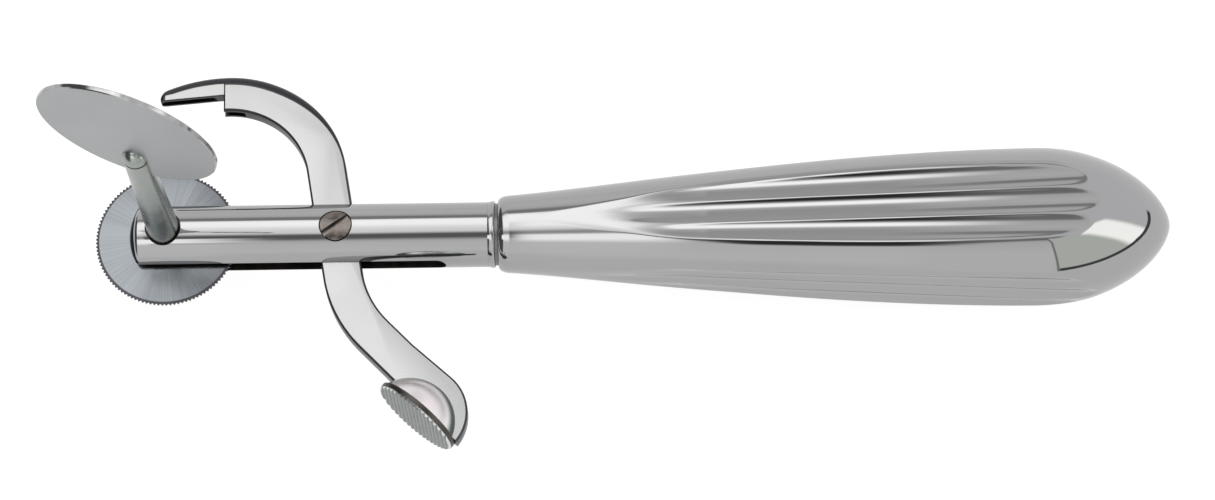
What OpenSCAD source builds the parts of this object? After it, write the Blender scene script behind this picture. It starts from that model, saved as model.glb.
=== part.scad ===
// Ring cutter: a hand tool that saws through a finger ring.
// Origin: centre of the saw blade, on the shaft's axis. +X runs back along the handle,
// +Z points up along the key stem, and the guard lever's tongue lies on the +Y side.

/* [Handle] */
// from the blade's centre to the handle's front face
reach = 46.5; // [44:0.5:56]
// length of the handle
handle_len = 94; // [84:1:110]
// radius of the handle's neck, just behind its front edge
neck_r = 5.35; // [5.2:0.05:6]
// largest radius of the handle
belly_r = 11.2; // [10.4:0.1:12.5]
// wall of the hollow handle
shell_wall = 0.9; // [0.6:0.1:1.2]
// height of the four fluted panels as a share of the round radius
panel_share = 0.87; // [0.86:0.01:0.9]
// from the handle's front face to the panels' front ends
panel_start = 10.5; // [9:0.5:14]
// from the handle's front face to where the middle flute runs out
flute_start = 18.5; // [16:0.5:24]
// radius of a flute's hollow
flute_r = 3.4; // [3:0.1:3.8]
// depth of a flute at its rear end
flute_depth = 0.4; // [0.3:0.05:0.45]
// distance between the flutes near the belly
flute_pitch = 3.5; // [3.3:0.05:3.7]

/* [Shaft] */
// diameter of the round shaft
shaft_d = 9.1; // [8.9:0.05:9.4]
// from the blade's centre forward to the shaft's rounded tip
tip_reach = 5.2; // [4.8:0.1:6]
// radius of the tip's domed end
tip_round = 8; // [7:0.5:12]
// width of the long slot that takes the blade and the lever
slot_w = 2.7; // [2.6:0.05:3]
// from the blade's centre back to the slot's end
slot_reach = 40; // [34:0.5:41]
// diameter of the bead between shaft and handle
collar_d = 9.4; // [9.2:0.05:9.9]
// width of that bead
collar_w = 1.4; // [1:0.1:2]

/* [Blade] */
// diameter over the saw teeth
blade_d = 20; // [18:0.25:22]
// thickness of the blade
blade_t = 0.5; // [0.4:0.05:0.8]
// number of teeth
teeth = 110; // [80:2:130]
// depth of a tooth
tooth_depth = 0.3; // [0.15:0.05:0.4]
// diameter of the two rings that centre the blade
spacer_d = 5.8; // [5:0.1:7]

/* [Stem and disc] */
// diameter of the stem where it enters the shaft
stem_d = 4.5; // [4.3:0.05:4.8]
// diameter of the stem at its domed top
stem_top_d = 3.5; // [3.2:0.05:4]
// height of the dome's centre above the blade
stem_h = 29.2; // [27:0.2:32]
// side of the square seat that drives the blade
seat_w = 3; // [2.8:0.05:3.1]
// diameter of the stem's lower pilot
pilot_d = 2.9; // [2.4:0.05:3]
// diameter of the thumb disc
disc_d = 24.6; // [21:0.1:26]
// thickness of the thumb disc
disc_t = 0.7; // [0.6:0.05:1]
// how far the disc's lower edge sits below the dome's centre
disc_set = 4.9; // [3.5:0.1:5.5]
// direction of the disc's face, turned about the stem
disc_turn = -18; // [-30:0.5:0]

/* [Lever] */
// thickness of the flat lever
lever_t = 2.5; // [2.3:0.05:2.6]
// width of the lever's arms
lever_w = 5.55; // [5.2:0.05:5.8]
// from the blade's centre back to the pivot screw
pivot_x = 24; // [23.5:0.25:26]
// diameter of the pivot screw's shank
pivot_d = 3.2; // [2.8:0.05:3.4]
// diameter of the pivot screw's head
head_d = 4.8; // [4.6:0.1:5.2]
// radius of the guard arm's centre line
guard_r = 14.3; // [14:0.1:15]
// length of the straight neck that passes through the shaft's slot
neck_len = 16.4; // [16:0.2:20]
// radius of the lower bend's centre line
bend_r = 16.4; // [14:0.2:20]
// length of the straight tail that carries the pad
tail_len = 6.5; // [5:0.25:9]
// thickness of the guard tongue along the stem's direction
tongue_w = 2.1; // [1.9:0.05:2.3]
// width of the tongue's groove for the blade's edge
groove_w = 1.2; // [1.1:0.05:1.4]
// angle that the lever turns through to close on the blade
close_angle = 29; // [28:0.5:30]

/* [Thumb pad] */
// diameter of the serrated pad
pad_d = 12.8; // [12:0.1:14]
// thickness of the pad's round plate
pad_t = 1; // [0.8:0.1:1.4]
// direction of the pad's face, degrees from the shaft's axis
pad_turn = -129.9; // [-134:0.5:-126]
// distance between the ridges on the pad's face
ridge_pitch = 0.7; // [0.6:0.05:0.9]
// depth of the grooves between the ridges
ridge_depth = 0.3; // [0.2:0.05:0.35]
// height of the domed back behind the pad's plate
dome_h = 4.4; // [3.8:0.1:5]

/* [Hidden] */
$fn = 96;
// radial gap of a shaft that turns in its bore
run_gap = 0.05;
// gap between the flat faces that slide past each other in the slot
side_gap = 0.05;
// gap round the stem in its open counterbore, so that the ring of shadow shows
bore_gap = 0.25;
// gap between the blade's teeth and the closed guard's groove
tooth_gap = 0.4;
eps = 0.01;

shaft_r = shaft_d / 2;
blade_r = blade_d / 2;
stem_r = stem_d / 2;
stem_top_r = stem_top_d / 2;
pilot_r = pilot_d / 2;
disc_r = disc_d / 2;
pad_r = pad_d / 2;
pivot_r = pivot_d / 2;
head_r = head_d / 2;
half_slot = slot_w / 2;

// the handle along X
handle_x = reach;
belly_x = handle_x + 0.798 * handle_len;
nose_len = handle_x + handle_len - belly_x;
front_len = belly_x - handle_x;
front_edge = 0.7;
plug_len = 13.5;
plug_r = shaft_r - 0.25;
tang_r = 2.6;
shoulder_x = handle_x - collar_w;

function front_radius(t) = neck_r + (belly_r - neck_r) * pow(sin(90 * t), 1.2);
function radius_at(x) = front_radius((x - handle_x) / front_len);

// a panel's surface is one long arc through two points of the handle
arc_r = 900;
panel_ax = handle_x + 0.25 * handle_len;
panel_az = panel_share * radius_at(panel_ax);
panel_bz = panel_share * belly_r;
panel_dx = belly_x - panel_ax;
panel_dz = panel_bz - panel_az;
panel_len = sqrt(panel_dx * panel_dx + panel_dz * panel_dz);
panel_drop = sqrt(arc_r * arc_r - panel_len * panel_len / 4);
panel_cx = (panel_ax + belly_x) / 2 + panel_drop * panel_dz / panel_len;
panel_cz = (panel_az + panel_bz) / 2 - panel_drop * panel_dx / panel_len;
panel_floor = radius_at(handle_x + panel_start);
function panel_z(x) = panel_cz + sqrt(arc_r * arc_r - (x - panel_cx) * (x - panel_cx));
rise_x = panel_cx - sqrt(arc_r * arc_r - (panel_floor - panel_cz) * (panel_floor - panel_cz));

// a flute's bottom is straight, so the curved panel sinks below it towards the neck
fade_x = handle_x + flute_start;
rear_x = belly_x + 0.07 * handle_len;
flute_dx = rear_x - fade_x;
flute_a = atan2(panel_z(rear_x) - flute_depth - panel_z(fade_x), flute_dx);
flute_deep = flute_dx * flute_dx / 8 / arc_r + flute_depth / 2;
fan_x = handle_x + 0.675 * handle_len;
flute_fan = 1.25;

// the lever's centre line: guard arc, straight neck through the slot, lower bend, straight tail
guard_ahead = 15.9;
guard_cx = pivot_x - guard_ahead;
guard_cy = 7.6;
neck_a = 9.4;
neck_top = [guard_cx + guard_r * cos(neck_a), guard_cy + guard_r * sin(neck_a)];
neck_dir = [sin(neck_a), -cos(neck_a)];
neck_end = neck_top + neck_len * neck_dir;
bend_a = 34.6;
bend_c = neck_end + bend_r * [cos(neck_a), sin(neck_a)];
bend_end = bend_c - bend_r * [cos(neck_a + bend_a), sin(neck_a + bend_a)];
tail_a = neck_a + bend_a - 90;
tail_dir = [cos(tail_a), sin(tail_a)];
tail_end = bend_end + tail_len * tail_dir;
guard_out = guard_r + lever_w / 2;
guard_in = guard_r - lever_w / 2;

// the pad's place, counted from the lever's tail
pad_n = [cos(pad_turn), sin(pad_turn)];
pad_ahead = 1.25;
pad_below = 7.5;
pad_c = tail_end + [pad_ahead, -pad_below];
spoon_rim = 0.5;
spoon_r = pad_r + spoon_rim;
spoon_lift = 0.7;
spoon_c = pad_c - spoon_lift * pad_n;
// how far the pad's near end stands out past the lever's left edge
pad_over = 1.8;

// the closed blade, turned back into the lever's rest position
closed_x = pivot_x - pivot_x * cos(close_angle);
closed_y = pivot_x * sin(close_angle);
groove_r = blade_r + tooth_gap;

// the tongue: where it begins, and where its straight underside lies
root_ahead = 0.35;
root_x = guard_cx - root_ahead;
root_lean = 0.15;
under_lift = 13.4;
under_y = guard_cy + under_lift;
under_rise = 0.6;
under_drop = 0.15;
tongue_len = 8.5;
tongue_reach = 10.2;
tongue_arc = 22.5;
tip_x = guard_cx - tongue_reach;
tongue_cy = guard_cy + guard_out - tongue_arc;
under_slope = (under_rise + under_drop) / (tongue_len - root_lean);
far = 2 * blade_d;

// depths of the seats in the shaft
head_len = 1.25;
pin_floor = 0.3;
counterbore_len = 1.35;
keeper_len = 0.85;
keeper_rim = 0.7;
keeper_gap = 0.3;
recess_len = keeper_len + 0.35;

// the pad's domed back
dome_in = 0.3;
dome_base = pad_r - dome_in;
dome_r = (dome_base * dome_base + dome_h * dome_h) / 2 / dome_h;
ridge_lip = 0.2;

// turns a shape made about Z so that its axis runs along X
module along_x() {
    rotate([0, 90, 0]) children();
}

// the handle's round form, inset by d
module handle_round(d) {
    front_n = 24;
    nose_n = 12;
    along_x() rotate_extrude()
        polygon(concat(
            [[0, handle_x + d]],
            [for (i = [0:3]) [neck_r - d - front_edge * (1 - sin(30 * i)),
                              handle_x + d + 2 * front_edge * (1 - cos(30 * i))]],
            [for (i = [1:front_n]) [front_radius(i / front_n) - d, handle_x + front_len * i / front_n]],
            [for (i = [1:nose_n - 1]) [belly_r * pow(cos(90 * i / nose_n), 1.2) * (1 - d / belly_r),
                                       belly_x + (nose_len - d) * sin(90 * i / nose_n)]],
            [[0, handle_x + handle_len - d]]));
}

// everything above one panel's surface, the surface moved inwards by d
module above_panel(d) {
    steps = 10;
    end_x = handle_x + handle_len + 1;
    top_z = belly_r + 1;
    rotate([90, 0, 0]) linear_extrude(height = 2 * top_z, center = true)
        polygon(concat(
            [[end_x, top_z], [handle_x - 1, top_z], [handle_x - 1, panel_floor - d]],
            [for (i = [0:steps]) let (x = rise_x + (end_x - rise_x) * i / steps) [x, panel_z(x) - d]]));
}

// one flute's cutter, along the middle of the upper panel
module flute() {
    translate([fade_x, 0, panel_z(fade_x)]) rotate([0, 90 - flute_a, 0])
        translate([-flute_r, 0, -2 * flute_pitch]) cylinder(h = flute_dx + 8 * flute_pitch, r = flute_r);
}

module panel_cut() {
    above_panel(0);
    flute();
    for (s = [-1, 1])
        translate([fan_x, s * flute_pitch, 0]) rotate([0, 0, s * flute_fan])
            translate([-fan_x, 0, 0]) flute();
}

module handle_solid() {
    difference() {
        handle_round(0);
        for (a = [0:90:270])
            rotate([a, 0, 0]) panel_cut();
    }
}

module handle_hollow() {
    difference() {
        handle_round(shell_wall);
        for (a = [0:90:270])
            rotate([a, 0, 0]) above_panel(shell_wall + flute_deep);
        translate([handle_x - 1, -belly_r, -belly_r]) cube([plug_len + 1, 2 * belly_r, 2 * belly_r]);
    }
}

module handle_half(top) {
    difference() {
        handle_solid();
        handle_hollow();
        translate([handle_x - 1, 0, 0]) along_x() cylinder(h = plug_len + 1 + eps, r = plug_r);
        translate([handle_x - 1, -2 * belly_r, top ? -2 * belly_r : 0])
            cube([handle_len + 2, 4 * belly_r, 2 * belly_r]);
    }
}

module handle_shell_upper() {
    color([0.72, 0.72, 0.73]) handle_half(true);
}

module handle_shell_lower() {
    color([0.7, 0.7, 0.71]) handle_half(false);
}

module handle_plug() {
    color([0.6, 0.6, 0.6])
    difference() {
        translate([handle_x, 0, 0]) along_x() cylinder(h = plug_len, r = plug_r);
        translate([handle_x - 1, 0, 0]) along_x() cylinder(h = plug_len, r = tang_r);
    }
}

module shaft_collar() {
    color([0.66, 0.66, 0.67])
    difference() {
        translate([shoulder_x, 0, 0]) along_x() rotate_extrude() {
            square([collar_d / 2 - collar_w / 3, collar_w]);
            translate([0, collar_w / 3]) square([collar_d / 2, collar_w / 3]);
            for (y = [1, 2])
                translate([collar_d / 2 - collar_w / 3, y * collar_w / 3]) circle(r = collar_w / 3);
        }
        translate([shoulder_x - 1, 0, 0]) along_x() cylinder(h = collar_w + 2, r = tang_r);
    }
}

// the plain round rod, used for the shaft and for the flush screw head
module rod() {
    translate([-tip_reach, 0, 0]) along_x() rotate_extrude() {
        intersection() {
            translate([0, tip_round]) circle(r = tip_round);
            square([shaft_r, tip_round]);
        }
        translate([0, tip_round - eps]) square([shaft_r, shoulder_x + tip_reach - tip_round + eps]);
    }
}

module shaft() {
    color([0.74, 0.74, 0.75])
    difference() {
        union() {
            rod();
            translate([shoulder_x - eps, 0, 0]) along_x() cylinder(h = collar_w + plug_len - 1 + eps, r = tang_r);
        }
        translate([-tip_reach - 1, -shaft_d, -half_slot])
            cube([tip_reach + 1 + slot_reach - half_slot, 2 * shaft_d, slot_w]);
        translate([slot_reach - half_slot, 0, 0]) rotate([90, 0, 0])
            cylinder(h = 2 * shaft_d, r = half_slot, center = true);
        // stem's bore with its open counterbore
        cylinder(h = shaft_d, r = stem_r + run_gap);
        translate([0, 0, shaft_r - counterbore_len]) cylinder(h = shaft_d, r = stem_r + bore_gap);
        // pilot's bore with the keeper's recess
        translate([0, 0, -shaft_d]) cylinder(h = shaft_d, r = pilot_r + run_gap);
        translate([0, 0, -shaft_d])
            cylinder(h = shaft_d - shaft_r + recess_len, r = pilot_r + keeper_rim + keeper_gap);
        // pivot screw
        translate([pivot_x, 0, pin_floor - shaft_r]) cylinder(h = shaft_d, r = pivot_r);
        translate([pivot_x, 0, shaft_r - head_len]) cylinder(h = shaft_d, r = head_r);
    }
}

module saw_blade() {
    color([0.62, 0.63, 0.65])
    difference() {
        translate([0, 0, -blade_t / 2]) linear_extrude(height = blade_t)
            polygon([for (i = [0:2 * teeth - 1])
                (blade_r - (i % 2) * tooth_depth) * [cos(180 * i / teeth), sin(180 * i / teeth)]]);
        cube([seat_w, seat_w, 2 * blade_t], center = true);
    }
}

module spacer(top) {
    h = half_slot - side_gap - blade_t / 2;
    translate([0, 0, top ? blade_t / 2 : -blade_t / 2 - h])
    difference() {
        cylinder(h = h, r = spacer_d / 2);
        translate([-seat_w / 2, -seat_w / 2, -1]) cube([seat_w, seat_w, h + 2]);
    }
}

module spacer_upper() {
    color([0.6, 0.6, 0.6]) spacer(true);
}

module spacer_lower() {
    color([0.6, 0.6, 0.6]) spacer(false);
}

module disc_blank() {
    translate([0, 0, stem_h - disc_set + disc_r]) rotate([90, 0, disc_turn])
        cylinder(h = disc_t, r = disc_r, center = true);
}

module key_stem() {
    seat_top = half_slot - side_gap;
    keeper_low = -shaft_r + keeper_gap - side_gap;
    color([0.7, 0.71, 0.72])
    difference() {
        union() {
            translate([0, 0, seat_top]) cylinder(h = shaft_r - seat_top, r = stem_r);
            translate([0, 0, shaft_r]) cylinder(h = stem_h - shaft_r, r1 = stem_r, r2 = stem_top_r);
            translate([0, 0, stem_h]) sphere(r = stem_top_r);
            translate([-seat_w / 2, -seat_w / 2, -seat_top]) cube([seat_w, seat_w, 2 * seat_top]);
            translate([0, 0, keeper_low]) cylinder(h = -seat_top - keeper_low, r = pilot_r);
        }
        disc_blank();
    }
}

module stem_keeper() {
    color([0.6, 0.6, 0.6])
    translate([0, 0, -shaft_r + keeper_gap])
    difference() {
        cylinder(h = keeper_len, r = pilot_r + keeper_rim);
        translate([0, 0, -keeper_len]) cylinder(h = 3 * keeper_len, r = pilot_r);
    }
}

module thumb_disc() {
    color([0.68, 0.68, 0.69]) disc_blank();
}

function turned(a) = [cos(a), sin(a)];

// outline of the lever: guard arc, neck, bend, tail and the round end behind the pad
module lever_outline() {
    steps = 16;
    bend_n = 6;
    spoon_n = 8;
    tip_a = 90 + asin(tongue_reach / tongue_arc);
    in_a = acos(-(root_ahead + root_lean) / guard_in);
    hw = lever_w / 2;
    tail_n = [-sin(tail_a), cos(tail_a)];
    shoulder = tail_end + hw * tail_n - 1.5 * tail_dir;
    to_shoulder = shoulder - spoon_c;
    touch_a = atan2(to_shoulder[1], to_shoulder[0]) - acos(spoon_r / norm(to_shoulder));
    half_chord = acos((spoon_lift - pad_t) / spoon_r);
    low_a = pad_turn + half_chord;
    left = bend_end - hw * tail_n;
    pad_along = [-pad_n[1], pad_n[0]];
    pad_left = pad_r - pad_over;
    left_len = ((pad_c - left) * pad_along - pad_left) / (tail_dir * pad_along);
    polygon(concat(
        [for (i = [0:steps]) [guard_cx, tongue_cy] + tongue_arc * turned(tip_a + (90 - tip_a) * i / steps)],
        [for (i = [1:steps]) [guard_cx, guard_cy] + guard_out * turned(90 + (neck_a - 90) * i / steps)],
        [for (i = [0:bend_n]) bend_c - (bend_r - hw) * turned(neck_a + bend_a * i / bend_n)],
        [shoulder],
        [for (i = [0:spoon_n]) spoon_c + spoon_r * turned(touch_a + (low_a - touch_a) * i / spoon_n)],
        [pad_c - pad_t * pad_n - pad_left * pad_along],
        [left + left_len * tail_dir],
        [for (i = [0:bend_n]) bend_c - (bend_r + hw) * turned(neck_a + bend_a * (1 - i / bend_n))],
        [for (i = [0:steps]) [guard_cx, guard_cy]
            + guard_in * turned(neck_a + (in_a - neck_a) * i / steps)],
        [[tip_x, guard_cy + guard_in]]));
}

module guard_lever() {
    color([0.78, 0.79, 0.8])
    difference() {
        translate([0, 0, -lever_t / 2]) linear_extrude(height = lever_t) lever_outline();
        // the step where the tongue begins, and the tongue's straight underside
        linear_extrude(height = 4 * lever_t, center = true)
            polygon([[root_x - root_lean, under_y + under_rise], [root_x, guard_cy], [-far, guard_cy],
                     [-far, under_y - under_drop - (far - tongue_len + root_x) * under_slope],
                     [root_x - tongue_len, under_y - under_drop]]);
        // the tongue is narrower than the arm
        for (s = [-1, 1])
            translate([0, 0, s * (tongue_w / 2 + lever_t)])
                linear_extrude(height = 2 * lever_t, center = true)
                    polygon([[root_x - root_lean, guard_cy], [-far, guard_cy], [-far, far],
                             [root_x - 2 * root_ahead, far]]);
        // groove that the closed blade's edge enters
        translate([closed_x, closed_y, 0])
            cylinder(h = groove_w, r = groove_r, center = true);
        translate([pivot_x, 0, 0]) cylinder(h = 2 * lever_t, r = pivot_r + run_gap, center = true);
    }
}

module thumb_pad() {
    count = floor(pad_r / ridge_pitch);
    color([0.62, 0.64, 0.64])
    translate([pad_c[0], pad_c[1], 0]) rotate([0, 0, pad_turn]) rotate([0, 90, 0])
    difference() {
        rotate_extrude() {
            translate([0, -pad_t]) square([pad_r, pad_t]);
            intersection() {
                translate([0, -pad_t - dome_h]) square([dome_base, dome_h]);
                translate([0, dome_r - pad_t - dome_h]) circle(r = dome_r);
            }
        }
        // the lever's end sits between the two cheeks
        translate([-lever_t / 2, -2 * pad_d, -pad_t - 2 * pad_d]) cube([lever_t, 4 * pad_d, 2 * pad_d]);
        for (i = [-count:count])
            translate([0, i * ridge_pitch, 0]) rotate([0, 90, 0])
                linear_extrude(height = 2 * pad_d, center = true)
                    polygon([[-ridge_lip, -ridge_pitch * 0.36], [-ridge_lip, ridge_pitch * 0.36], [ridge_depth, 0]]);
    }
}

module pivot_screw() {
    head_z = shaft_r - head_len;
    color([0.5, 0.47, 0.44])
    difference() {
        intersection() {
            rod();
            union() {
                translate([pivot_x, 0, head_z]) cylinder(h = shaft_d, r = head_r);
                translate([pivot_x, 0, pin_floor - shaft_r]) cylinder(h = head_z + shaft_r, r = pivot_r);
            }
        }
        translate([pivot_x, 0, shaft_r - head_len / 2]) rotate([0, 0, 40])
            translate([-head_d, -head_d / 12, 0]) cube([2 * head_d, head_d / 6, shaft_d]);
    }
}

handle_shell_upper();
handle_shell_lower();
handle_plug();
shaft_collar();
shaft();
saw_blade();
spacer_upper();
spacer_lower();
key_stem();
stem_keeper();
thumb_disc();
guard_lever();
thumb_pad();
pivot_screw();
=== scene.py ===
from math import acos, asin, atan2, cos, degrees, floor, pi, radians, sin, sqrt, tan

import bmesh
import bpy
from mathutils import Matrix, Vector


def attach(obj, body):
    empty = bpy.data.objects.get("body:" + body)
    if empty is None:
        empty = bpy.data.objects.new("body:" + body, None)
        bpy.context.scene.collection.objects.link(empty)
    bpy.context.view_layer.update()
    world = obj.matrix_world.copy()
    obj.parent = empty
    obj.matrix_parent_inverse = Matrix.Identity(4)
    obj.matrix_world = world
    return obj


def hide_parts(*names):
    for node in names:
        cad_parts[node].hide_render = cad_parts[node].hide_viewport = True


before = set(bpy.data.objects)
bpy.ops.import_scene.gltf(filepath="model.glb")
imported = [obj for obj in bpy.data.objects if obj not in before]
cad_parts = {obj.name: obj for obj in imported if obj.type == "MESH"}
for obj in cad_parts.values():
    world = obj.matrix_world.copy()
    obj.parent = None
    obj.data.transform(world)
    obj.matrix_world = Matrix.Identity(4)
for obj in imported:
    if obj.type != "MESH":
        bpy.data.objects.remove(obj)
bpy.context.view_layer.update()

MM = 0.001

# Sizes in millimetres, scaled so that the blade measures 20 over its teeth.
handle_x, handle_len = 46.5, 94.0
neck_r, belly_r, swell, front_edge = 5.35, 11.2, 1.2, 0.7
panel_share, panel_start, arc_r = 0.89, 51.0, 900.0
flute_r, flute_pitch, flute_fan, flute_end = 3.4, 3.6, 1.25, 0.4
inner_start, outer_start = 61.0, 66.5
shaft_r, tip_reach, tip_round = 4.55, 5.2, 8.0
half_slot, slot_reach, tang_r = 1.35, 39.2, 2.6
collar_r, collar_w = 4.7, 1.4
plug_r = shaft_r - 0.25
blade_r, blade_t, teeth, tooth_depth = 10.0, 0.5, 110, 0.3
stem_r, stem_top_r, stem_h = 2.25, 1.75, 29.2
seat_w, pilot_r = 3.0, 1.45
disc_r, disc_t, disc_set, disc_turn = 12.3, 0.7, 4.9, -18.0
lever_t, lever_w, pivot_x, pivot_r, head_r = 2.5, 5.55, 24.0, 1.6, 2.15
guard_r, neck_len, bend_r, tail_len = 14.3, 16.4, 16.4, 6.5
tongue_w, tongue_arc, tip_x, tip_short, groove_w, close_angle = 2.1, 22.5, -2.1, 0.35, 1.2, 29.0
pad_r, pad_t, pad_turn, ridge_pitch, ridge_depth, dome_h = 6.4, 1.0, -129.9, 0.7, 0.3, 4.4

belly_x = handle_x + 0.798 * handle_len
panel_full_x = handle_x + 0.31 * handle_len
fan_x = handle_x + 0.675 * handle_len
rear_x = belly_x + 0.07 * handle_len
front_len = belly_x - handle_x
nose_len = handle_len - front_len
shoulder_x = handle_x - collar_w
clear = 9.0  # a carving solid that reaches this far from the axis stands clear of the shaft


def turned(a):
    return Vector((cos(radians(a)), sin(radians(a))))


# Materials

def node_maker(tree):
    def make(kind, **settings):
        node = tree.nodes.new(kind)
        for key, value in settings.items():
            setattr(node, key, value)
        return node
    return make


def blank_nodes(owner):
    """Empties the nodes of a material or the world, and gives its node maker and link function."""
    owner.use_nodes = True
    owner.node_tree.nodes.clear()
    return node_maker(owner.node_tree), owner.node_tree.links.new


def place_axes(make, link, kind="Object"):
    """The X, Y and Z outputs of a place or a direction."""
    place = make("ShaderNodeTexCoord")
    split = make("ShaderNodeSeparateXYZ")
    link(place.outputs[kind], split.inputs["Vector"])
    return split.outputs


def remap(make, link, value, start, end, low=0.0, high=1.0, curve="SMOOTHSTEP"):
    """Carries a value from start and end over to low and high, and holds it beyond both."""
    node = make("ShaderNodeMapRange", interpolation_type=curve)
    for label, number in (("From Min", start), ("From Max", end), ("To Min", low), ("To Max", high)):
        node.inputs[label].default_value = number
    link(value, node.inputs["Value"])
    return node.outputs["Result"]


def combine(make, link, operation, values):
    """Several values joined by one operation, such as their product."""
    result = values[0]
    for other in values[1:]:
        node = make("ShaderNodeMath", operation=operation)
        link(result, node.inputs[0])
        link(other, node.inputs[1])
        result = node.outputs[0]
    return result


def mix_colours(make, link, share, first, second):
    mix = make("ShaderNodeMix", data_type="RGBA", clamp_result=False)
    link(share, mix.inputs[0])
    link(first, mix.inputs[6])
    link(second, mix.inputs[7])
    return mix.outputs[2]


def angle_share(make, link, axes, bands):
    """How far the angle from overhead lies between the first and the last band, from 0 to 1."""
    angle = combine(make, link, "ARCTAN2", [axes["Y"], axes["Z"]])
    return remap(make, link, angle, radians(bands[0][0]), radians(bands[-1][0]), curve="LINEAR")


def band_ramp(make, link, share, bands):
    """Light in bands round the tool's long axis, from pairs of angle and brightness."""
    low, high = bands[0][0], bands[-1][0]
    ramp = make("ShaderNodeValToRGB")
    stops = ramp.color_ramp.elements
    while len(stops) > 1:
        stops.remove(stops[-1])
    for i, (degree, level) in enumerate(bands):
        position = (degree - low) / (high - low)
        stop = stops[0] if i == 0 else stops.new(position)
        stop.position = position
        stop.color = (level, level, level, 1)
    link(share, ramp.inputs["Fac"])
    return ramp.outputs["Color"]


def new_group(name, inputs, outputs):
    tree = bpy.data.node_groups.new(name, "ShaderNodeTree")
    for label, value in inputs:
        socket = tree.interface.new_socket(label, in_out="INPUT", socket_type="NodeSocketFloat")
        socket.default_value = value
    for label in outputs:
        tree.interface.new_socket(label, in_out="OUTPUT", socket_type="NodeSocketFloat")
    make = node_maker(tree)
    return make, tree.links.new, make("NodeGroupInput"), make("NodeGroupOutput")


def polish_group():
    """Buffed metal: faint cloudy patches in the shine and fine hair scratches."""
    make, link, given, out = new_group(
        "buffed metal",
        [("Patch Size", 60.0), ("Scratch Size", 900.0), ("Rough Low", 0.04), ("Rough High", 0.1)],
        ["Roughness", "Height", "Patches"])
    place = make("ShaderNodeTexCoord")
    patches = make("ShaderNodeTexNoise")
    patches.inputs["Detail"].default_value = 4.0
    link(place.outputs["Object"], patches.inputs["Vector"])
    link(given.outputs["Patch Size"], patches.inputs["Scale"])
    stretch = make("ShaderNodeMapping")
    stretch.inputs["Scale"].default_value = (0.12, 1.0, 1.0)
    link(place.outputs["Object"], stretch.inputs["Vector"])
    hairs = make("ShaderNodeTexNoise")
    hairs.inputs["Detail"].default_value = 6.0
    hairs.inputs["Roughness"].default_value = 0.7
    link(stretch.outputs["Vector"], hairs.inputs["Vector"])
    link(given.outputs["Scratch Size"], hairs.inputs["Scale"])
    spread = make("ShaderNodeMapRange")
    spread.inputs["From Min"].default_value = 0.3
    spread.inputs["From Max"].default_value = 0.7
    link(patches.outputs["Fac"], spread.inputs["Value"])
    link(given.outputs["Rough Low"], spread.inputs["To Min"])
    link(given.outputs["Rough High"], spread.inputs["To Max"])
    link(spread.outputs["Result"], out.inputs["Roughness"])
    link(hairs.outputs["Fac"], out.inputs["Height"])
    link(patches.outputs["Fac"], out.inputs["Patches"])
    return out.id_data


def radial_group():
    """Fine grinding lines that run out from a round face's centre, with broad lighter and darker fans."""
    make, link, given, out = new_group(
        "radial grinding", [("Lines", 40.0), ("Fans", 2.2)], ["Lines", "Fans"])
    axes = place_axes(make, link)
    flat = make("ShaderNodeCombineXYZ")
    link(axes["X"], flat.inputs["X"])
    link(axes["Y"], flat.inputs["Y"])
    facing = make("ShaderNodeVectorMath", operation="NORMALIZE")
    link(flat.outputs["Vector"], facing.inputs[0])
    for label in ("Lines", "Fans"):
        noise = make("ShaderNodeTexNoise")
        noise.inputs["Detail"].default_value = 5.0 if label == "Lines" else 1.0
        link(facing.outputs["Vector"], noise.inputs["Vector"])
        link(given.outputs[label], noise.inputs["Scale"])
        link(noise.outputs["Fac"], out.inputs[label])
    return out.id_data


BUFFED = polish_group()
RADIAL = radial_group()


def metal(name, tint, low, high, patch=60.0, scratch=900.0, bump=0.02, mottle=0.04):
    """A metal whose shine varies over the surface; tint is its colour, mottle how much the colour clouds."""
    material = bpy.data.materials.new(name)
    make, link = blank_nodes(material)
    out = make("ShaderNodeOutputMaterial")
    shader = make("ShaderNodeBsdfPrincipled")
    shader.inputs["Metallic"].default_value = 1.0
    link(shader.outputs["BSDF"], out.inputs["Surface"])
    buffed = make("ShaderNodeGroup", node_tree=BUFFED)
    for label, value in (("Patch Size", patch), ("Scratch Size", scratch),
                         ("Rough Low", low), ("Rough High", high)):
        buffed.inputs[label].default_value = value
    link(buffed.outputs["Roughness"], shader.inputs["Roughness"])
    cloud = make("ShaderNodeMix", data_type="RGBA")
    cloud.inputs[6].default_value = tuple(c * (1 - mottle) for c in tint) + (1,)
    cloud.inputs[7].default_value = tuple(min(1.0, c * (1 + mottle)) for c in tint) + (1,)
    link(buffed.outputs["Patches"], cloud.inputs[0])
    link(cloud.outputs[2], shader.inputs["Base Color"])
    relief = make("ShaderNodeBump")
    relief.inputs["Strength"].default_value = bump
    relief.inputs["Distance"].default_value = 0.05 * MM
    link(buffed.outputs["Height"], relief.inputs["Height"])
    link(relief.outputs["Normal"], shader.inputs["Normal"])
    return material


def built_nodes(material):
    """Node maker, link function and nodes by type of a metal, to build further on it."""
    tree = material.node_tree
    return node_maker(tree), tree.links.new, {node.type: node for node in tree.nodes}


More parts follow.
